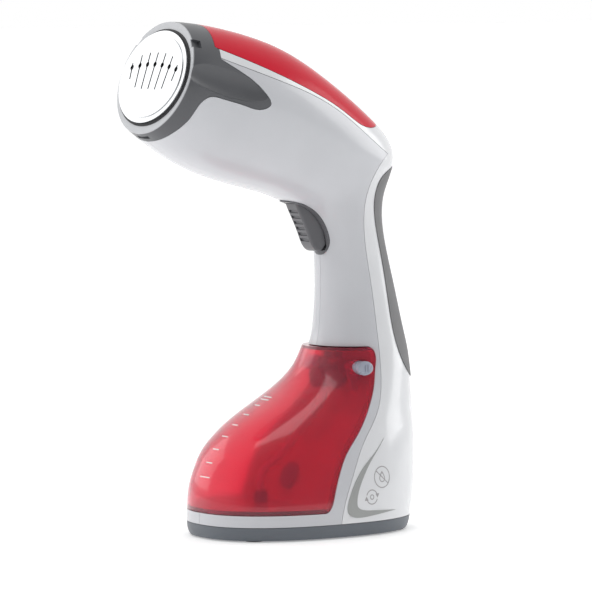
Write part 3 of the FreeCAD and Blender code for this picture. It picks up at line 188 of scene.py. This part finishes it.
def steel(name, colour, rough, line_size, line_depth, stretch=(1.0, 1.0, 1.0)):
    """Drawn or turned metal: fine stretched lines, and roughness that wanders with them."""
    mat = bpy.data.materials.new(name)
    mat.use_nodes = True
    tree = mat.node_tree
    shader = tree.nodes["Principled BSDF"]
    where = tree.nodes.new("ShaderNodeTexCoord")
    lay = tree.nodes.new("ShaderNodeMapping")
    lay.inputs["Scale"].default_value = stretch
    lines = tree.nodes.new("ShaderNodeTexNoise")
    lines.inputs["Scale"].default_value = 1.0 / line_size
    lines.inputs["Detail"].default_value = 3.0
    tint = tree.nodes.new("ShaderNodeValToRGB")
    tint.color_ramp.elements[0].color = tuple(c * 0.9 for c in colour) + (1.0,)
    tint.color_ramp.elements[1].color = tuple(min(1.0, c * 1.06) for c in colour) + (1.0,)
    gloss = tree.nodes.new("ShaderNodeMapRange")
    gloss.inputs["To Min"].default_value = rough * 0.7
    gloss.inputs["To Max"].default_value = rough * 1.4
    bump = tree.nodes.new("ShaderNodeBump")
    bump.inputs["Distance"].default_value = line_depth
    bump.inputs["Strength"].default_value = 0.5
    link = tree.links.new
    link(where.outputs["Object"], lay.inputs["Vector"])
    link(lay.outputs["Vector"], lines.inputs["Vector"])
    link(lines.outputs["Fac"], tint.inputs["Fac"])
    link(tint.outputs["Color"], shader.inputs["Base Color"])
    link(lines.outputs["Fac"], gloss.inputs["Value"])
    link(gloss.outputs["Result"], shader.inputs["Roughness"])
    link(lines.outputs["Fac"], bump.inputs["Height"])
    link(bump.outputs["Normal"], shader.inputs["Normal"])
    shader.inputs["Metallic"].default_value = 1.0
    return mat


zinc = steel("zinc_plated_screw", (0.55, 0.56, 0.6), 0.32, 0.0008, 0.00002)
give(zinc, "base_screws", "casing_screws", "trigger_pin", "chamber_screws")

# ---------------------------------------------------------------- inner moulding and cord bush
# The white inner moulding is the deck, wall and roof that the tank sits in, plain ABS with no gloss. The bush
# is a black rubber collar pressed into the low rear of the shells.

inner_plastic = moulding("inner_white_abs", (0.70, 0.70, 0.69), 0.5, 0.0006, 0.00003)
give(inner_plastic, "chassis", "inlet_socket", "heat_shield")
bush_rubber = moulding("bush_rubber", (0.018, 0.018, 0.02), 0.6, 0.0004, 0.00004)
give(bush_rubber, "cord_bush", "plate_gasket")

# ---------------------------------------------------------------- white shells and rear spine
# Two ABS shells meet on the mid plane and are held by three screws. They have a satin gloss and a faint
# orange peel. The spine that closes the back is a whiter, glossier moulding fitted between them.

shell_plastic = moulding("shell_white_abs", (0.56, 0.57, 0.60), 0.24, 0.0028, 0.00002, 0.02, coat=0.25)
give(shell_plastic, "casing_left", "casing_right")
spine_plastic = moulding("spine_white_abs", (0.72, 0.73, 0.75), 0.18, 0.0035, 0.00002, 0.015, coat=0.35)
give(spine_plastic, "rear_spine")

# ---------------------------------------------------------------- grip pad and side inlays
# The pad on the back of the grip is a grey soft-touch elastomer with a fine matt grain, let into the spine.
# The two inlays are thin satin grey crescents, let into the spine's sides low on the foot.

grip_rubber = moulding("grip_soft_touch", (0.165, 0.165, 0.17), 0.58, 0.0005, 0.00005)
give(grip_rubber, "grip_pad")
inlay_plastic = moulding("inlay_satin_grey", (0.33, 0.34, 0.335), 0.38, 0.0006, 0.00003)
give(inlay_plastic, "side_inlay_left", "side_inlay_right")

# ---------------------------------------------------------------- head: red cover and grey bezel
# The cover on top of the head is opaque red ABS with a piano gloss. The bezel is a metallic grey moulding
# round the steam plate, and reaches back along both sides as a pointed wing. The pale grey on the front face
# of its ring is a painted highlight, standing in for the front soft box's reflection.

cover_plastic = moulding("cover_red_abs", (0.60, 0.010, 0.030), 0.2, 0.004, 0.00002, 0.03)
cover_plastic.node_tree.nodes["Principled BSDF"].inputs["Specular IOR Level"].default_value = 0.14
give(cover_plastic, "top_cover")
head_tilt = math.radians(19.5)
head_axis = Vector((0.0, -math.cos(head_tilt), math.sin(head_tilt)))
bezel_front = max(v.co.dot(head_axis) for v in nodes["nozzle_bezel"].data.vertices)
# Painted highlight: the front face of the bezel ring is mixed to a pale grey in place of the reflection it
# catches.
bezel_front_painted_highlight = (0.50, 0.51, 0.53, 1.0)

bezel_plastic = moulding("bezel_metallic_grey", (0.085, 0.088, 0.096), 0.34, 0.0007, 0.00003, 0.06)
bezel_tree = bezel_plastic.node_tree
along = bezel_tree.nodes.new("ShaderNodeVectorMath")
along.operation = "DOT_PRODUCT"
along.inputs[1].default_value = head_axis
# Mask of the painted highlight: the last 0.3 to 0.9 mm of the bezel along the head's axis.
ring_highlight_mask = bezel_tree.nodes.new("ShaderNodeMapRange")
ring_highlight_mask.inputs["From Min"].default_value = bezel_front - 0.0009
ring_highlight_mask.inputs["From Max"].default_value = bezel_front - 0.0003
painted_highlight_mix = bezel_tree.nodes.new("ShaderNodeMix")
painted_highlight_mix.data_type = "RGBA"
painted_highlight_mix.inputs["B"].default_value = bezel_front_painted_highlight
bezel_colour = bezel_tree.nodes["Principled BSDF"].inputs["Base Color"]
bezel_tree.links.new(bezel_tree.nodes["Texture Coordinate"].outputs["Object"], along.inputs[0])
bezel_tree.links.new(along.outputs["Value"], ring_highlight_mask.inputs["Value"])
bezel_tree.links.new(ring_highlight_mask.outputs["Result"], painted_highlight_mix.inputs["Factor"])
bezel_tree.links.new(bezel_colour.links[0].from_socket, painted_highlight_mix.inputs["A"])
bezel_tree.links.new(painted_highlight_mix.outputs["Result"], bezel_colour)
give(bezel_plastic, "nozzle_bezel")

# ---------------------------------------------------------------- steam plate
# The plate is polished stainless steel with a raised face. A fan of seven long slots is cut into it, with a
# round steam hole in each, and its edge sits in the black gasket.

plate_steel = steel("plate_polished_steel", (0.58, 0.59, 0.60), 0.22, 0.0016, 0.00001, (1.0, 6.0, 1.0))
give(plate_steel, "steam_plate")

# ---------------------------------------------------------------- heater inside the head
# A die-cast aluminium block with the element cast round it makes the steam. Its lid is screwed down, and the
# thermostat and the fuse sit on the lid.

cast_metal = steel("die_cast_alloy", (0.62, 0.63, 0.64), 0.45, 0.0012, 0.00006)
give(cast_metal, "heater_block", "chamber_lid")
hot_steel = steel("heat_darkened_steel", (0.42, 0.38, 0.33), 0.4, 0.001, 0.00003)
give(hot_steel, "heating_element", "switch_bracket")
can_metal = steel("pressed_can", (0.68, 0.68, 0.67), 0.25, 0.001, 0.00001)
give(can_metal, "thermostat", "thermal_fuse")
turned_brass = steel("turned_brass", (0.72, 0.53, 0.24), 0.25, 0.0005, 0.00001, (1.0, 1.0, 8.0))
give(turned_brass, "steam_inlet")

# ---------------------------------------------------------------- trigger, its frame and the switch
# The trigger and the frame round its opening are satin dark grey ABS. The trigger turns on a steel pin and
# pushes the black plunger of a small switch.

trigger_plastic = moulding("trigger_dark_grey", (0.115, 0.115, 0.125), 0.36, 0.0005, 0.00003)
give(trigger_plastic, "trigger", "trigger_surround")
switch_plastic = moulding("switch_black", (0.02, 0.02, 0.022), 0.4, 0.0005, 0.00002)
give(switch_plastic, "micro_switch", "switch_plunger")
spring_wire = steel("spring_wire", (0.62, 0.63, 0.65), 0.22, 0.0006, 0.00001)
give(spring_wire, "trigger_spring", "valve_spring", "latch_spring_left", "latch_spring_right")

# ---------------------------------------------------------------- pump, hoses and terminals
# The pump stands on two soft mounts behind the tank. Milky silicone hoses join it to the tank's socket and to
# the heater. The natural nylon bar is the mains terminal.

pump_plastic = moulding("pump_filled_nylon", (0.03, 0.035, 0.05), 0.48, 0.0005, 0.00004)
give(pump_plastic, "pump")
silicone = moulding("milky_silicone", (0.72, 0.71, 0.66), 0.4, 0.0012, 0.00002)
give(silicone, "pump_mounts", "steam_hose", "inlet_hose", "valve_seal", "dip_tube")
nylon = moulding("natural_nylon", (0.74, 0.72, 0.62), 0.45, 0.0006, 0.00003)
give(nylon, "terminal_block")

# ---------------------------------------------------------------- water tank
# The tank is clear red SAN, two mouldings welded at the back, so what is inside shows through as darker red.
# The walls are polished outside and carry a faint flow ripple.

tank_red = (0.95, 0.075, 0.17)


def clear_moulding(name, colour, rough, through, coat=0.0):
    """Clear tinted plastic: light goes through it, and a faint ripple and wiped gloss break its polish."""
    mat = bpy.data.materials.new(name)
    mat.use_nodes = True
    tree = mat.node_tree
    shader = tree.nodes["Principled BSDF"]
    shader.inputs["Transmission Weight"].default_value = through
    shader.inputs["Coat Weight"].default_value = coat
    shader.inputs["Coat Roughness"].default_value = 0.05
    shader.inputs["IOR"].default_value = 1.3
    where = tree.nodes.new("ShaderNodeTexCoord")
    ripple = tree.nodes.new("ShaderNodeTexNoise")
    ripple.inputs["Scale"].default_value = 60.0
    ripple.inputs["Detail"].default_value = 3.0
    tint = tree.nodes.new("ShaderNodeValToRGB")
    tint.color_ramp.elements[0].color = tuple(c * 0.93 for c in colour) + (1.0,)
    tint.color_ramp.elements[1].color = tuple(min(1.0, c * 1.05) for c in colour) + (1.0,)
    gloss = tree.nodes.new("ShaderNodeMapRange")
    gloss.inputs["To Min"].default_value = rough * 0.6
    gloss.inputs["To Max"].default_value = rough * 1.5
    bump = tree.nodes.new("ShaderNodeBump")
    bump.inputs["Distance"].default_value = 0.00003
    bump.inputs["Strength"].default_value = 0.4
    link = tree.links.new
    link(where.outputs["Object"], ripple.inputs["Vector"])
    link(ripple.outputs["Fac"], tint.inputs["Fac"])
    link(tint.outputs["Color"], shader.inputs["Base Color"])
    link(ripple.outputs["Fac"], gloss.inputs["Value"])
    link(gloss.outputs["Result"], shader.inputs["Roughness"])
    link(ripple.outputs["Fac"], bump.inputs["Height"])
    link(bump.outputs["Normal"], shader.inputs["Normal"])
    return mat


tank_clear = clear_moulding("tank_clear_red", tank_red, 0.2, 0.86, coat=0.7)
give(tank_clear, "tank_body")
tank_back_clear = clear_moulding("tank_back_clear_red", tank_red, 0.2, 0.45)
give(tank_back_clear, "tank_back")
valve_plastic = moulding("valve_dark_red_grey", (0.12, 0.05, 0.055), 0.4, 0.0006, 0.00003)
give(valve_plastic, "valve_body", "strainer", "latch_carrier", "valve_stem")
plug_rubber = moulding("plug_rubber", (0.2, 0.2, 0.21), 0.6, 0.0006, 0.00004)
give(plug_rubber, "filler_plug")

# ---------------------------------------------------------------- water scale on the tank
# The scale is short pale lines at eight heights, pad printed up the front of the tank. The top and bottom
# marks are longer, and the top one is doubled.

scale_heights = (0.0360, 0.0441, 0.0516, 0.0586, 0.0648, 0.0703, 0.0752, 0.0782)
tick_length = 0.0060
end_tick_length = 0.0095
tick_width = 0.0005
double_tick_gap = 0.0014
ink_thickness = 0.00004
cast_from = 0.1

ink = moulding("pale_ink", (0.86, 0.80, 0.80), 0.5, 0.0005, 0.00001)


def surface_of(node):
    """A search tree of a CAD node's faces."""
    shape = bmesh.new()
    shape.from_mesh(nodes[node].data)
    tree = BVHTree.FromBMesh(shape)
    shape.free()
    return tree


def print_on(name, ink_bm, surface, heading, body, material):
    """Presses a flat print along the heading onto a surface, and gives the film its thickness."""
    for v in ink_bm.verts:
        spot, normal = surface.ray_cast(v.co - heading * cast_from, heading)[:2]
        v.co = spot + normal * ink_thickness * 0.5
    bmesh.ops.recalc_face_normals(ink_bm, faces=ink_bm.faces)
    if sum(f.normal.dot(heading) for f in ink_bm.faces) > 0:
        bmesh.ops.reverse_faces(ink_bm, faces=ink_bm.faces)
    mesh = bpy.data.meshes.new(name)
    ink_bm.to_mesh(mesh)
    ink_bm.free()
    mesh.materials.append(material)
    print_object = bpy.data.objects.new(name, mesh)
    bpy.context.scene.collection.objects.link(print_object)
    film = print_object.modifiers.new("ink_film", "SOLIDIFY")
    film.thickness = ink_thickness
    film.offset = 1.0
    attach(print_object, body)


scale_bm = bmesh.new()
tick_rows = [(height, tick_length) for height in scale_heights[1:-1]]
end_heights = (scale_heights[0], scale_heights[-1], scale_heights[-1] + double_tick_gap)
tick_rows += [(height, end_tick_length) for height in end_heights]
for height, length in tick_rows:
    tick = bmesh.ops.create_grid(scale_bm, x_segments=8, y_segments=1, size=0.5)["verts"]
    bmesh.ops.scale(scale_bm, vec=(length, tick_width, 1.0), verts=tick)
    bmesh.ops.rotate(scale_bm, matrix=Matrix.Rotation(math.radians(90), 3, "X"), verts=tick)
    rise = (height - scale_heights[0]) / (scale_heights[-1] - scale_heights[0])
    bmesh.ops.translate(scale_bm, vec=(0.0012 - 0.0045 * rise ** 2, 0.0, height), verts=tick)
print_on("tank_scale", scale_bm, surface_of("tank_body"), Vector((0.0, 1.0, 0.0)), "tank", ink)

# ---------------------------------------------------------------- printed symbols on the rear side
# Two small round symbols are pad printed in pale grey, low on the side: a struck-out drop, and a ring of two
# turning arrows.

symbol_grey = moulding("symbol_grey_ink", (0.36, 0.35, 0.36), 0.5, 0.0005, 0.00001)
line_width = 0.0006
drop_ring_radius = 0.0064
drop_radius = 0.0023
arrow_ring_radius = 0.0044
arrow_hub_radius = 0.0016
arrow_head_radius = 0.0017
drop_centre = Vector((0.0, 0.0291, 0.0339))
arrow_centre = Vector((0.0, 0.0205, 0.0229))
flat_to_side = Matrix(((0.0, 0.0, 1.0), (1.0, 0.0, 0.0), (0.0, 1.0, 0.0)))


def ink_loop(symbol_bm, radius, rounds):
    """A thin ring: a disc inset by the line's width, without its middle."""
    rim = bmesh.ops.create_circle(symbol_bm, cap_ends=True, radius=radius, segments=rounds)["verts"]
    disc = rim[0].link_faces[0]
    bmesh.ops.inset_region(
        symbol_bm, faces=[disc], thickness=line_width, use_boundary=True, use_even_offset=True)
    loop = set(rim) | set(disc.verts)
    bmesh.ops.delete(symbol_bm, geom=[disc], context="FACES_ONLY")
    return [v for v in loop if v.is_valid]


drop_bm = bmesh.new()
ink_loop(drop_bm, drop_ring_radius, 56)
drop = ink_loop(drop_bm, drop_radius, 28)
bmesh.ops.translate(drop_bm, vec=(0.0, -0.0007, 0.0), verts=drop)
for v in drop:
    if v.co.y > 0.0:
        v.co.x *= max(0.0, 1.0 - v.co.y / 0.0019) ** 0.5
        v.co.y *= 2.2
strike = bmesh.ops.create_grid(drop_bm, x_segments=12, y_segments=1, size=0.5)["verts"]
bmesh.ops.scale(drop_bm, vec=(2 * drop_ring_radius - line_width, line_width, 1.0), verts=strike)
bmesh.ops.rotate(drop_bm, matrix=Matrix.Rotation(math.radians(-40), 3, "Z"), verts=strike)
bmesh.ops.transform(drop_bm, matrix=flat_to_side.to_4x4(), verts=drop_bm.verts)
bmesh.ops.translate(drop_bm, vec=drop_centre, verts=drop_bm.verts)

arrow_bm = bmesh.new()
ink_loop(arrow_bm, arrow_ring_radius, 60)
ink_loop(arrow_bm, arrow_hub_radius, 24)
gaps = [f for f in arrow_bm.faces if f.calc_center_median().length > 0.003
        and abs(math.sin(math.atan2(f.calc_center_median().y, f.calc_center_median().x))) < 0.3]
bmesh.ops.delete(arrow_bm, geom=gaps, context="FACES")
for side in (-1, 1):
    head = bmesh.ops.create_circle(arrow_bm, cap_ends=True, radius=arrow_head_radius, segments=3)["verts"]
    bmesh.ops.rotate(arrow_bm, matrix=Matrix.Rotation(math.radians(90 + 90 * side), 3, "Z"), verts=head)
    bmesh.ops.translate(arrow_bm, vec=(side * (arrow_ring_radius - 0.0002), side * 0.0010, 0.0), verts=head)
bmesh.ops.transform(arrow_bm, matrix=flat_to_side.to_4x4(), verts=arrow_bm.verts)
bmesh.ops.translate(arrow_bm, vec=arrow_centre, verts=arrow_bm.verts)

side_surface = surface_of("rear_spine")
inward = Vector((-1.0, 0.0, 0.0))
print_on("drop_symbol", drop_bm, side_surface, inward, "body", symbol_grey)
print_on("arrows_symbol", arrow_bm, side_surface, inward, "body", symbol_grey)

# ---------------------------------------------------------------- release buttons
# The two buttons are frosted clear plastic with a faint blue tint. Each slides in the tank's neck against a
# small coil spring.

button_clear = clear_moulding("button_frosted", (0.50, 0.55, 0.66), 0.25, 0.4, coat=0.5)
give(button_clear, "release_button_left", "release_button_right")
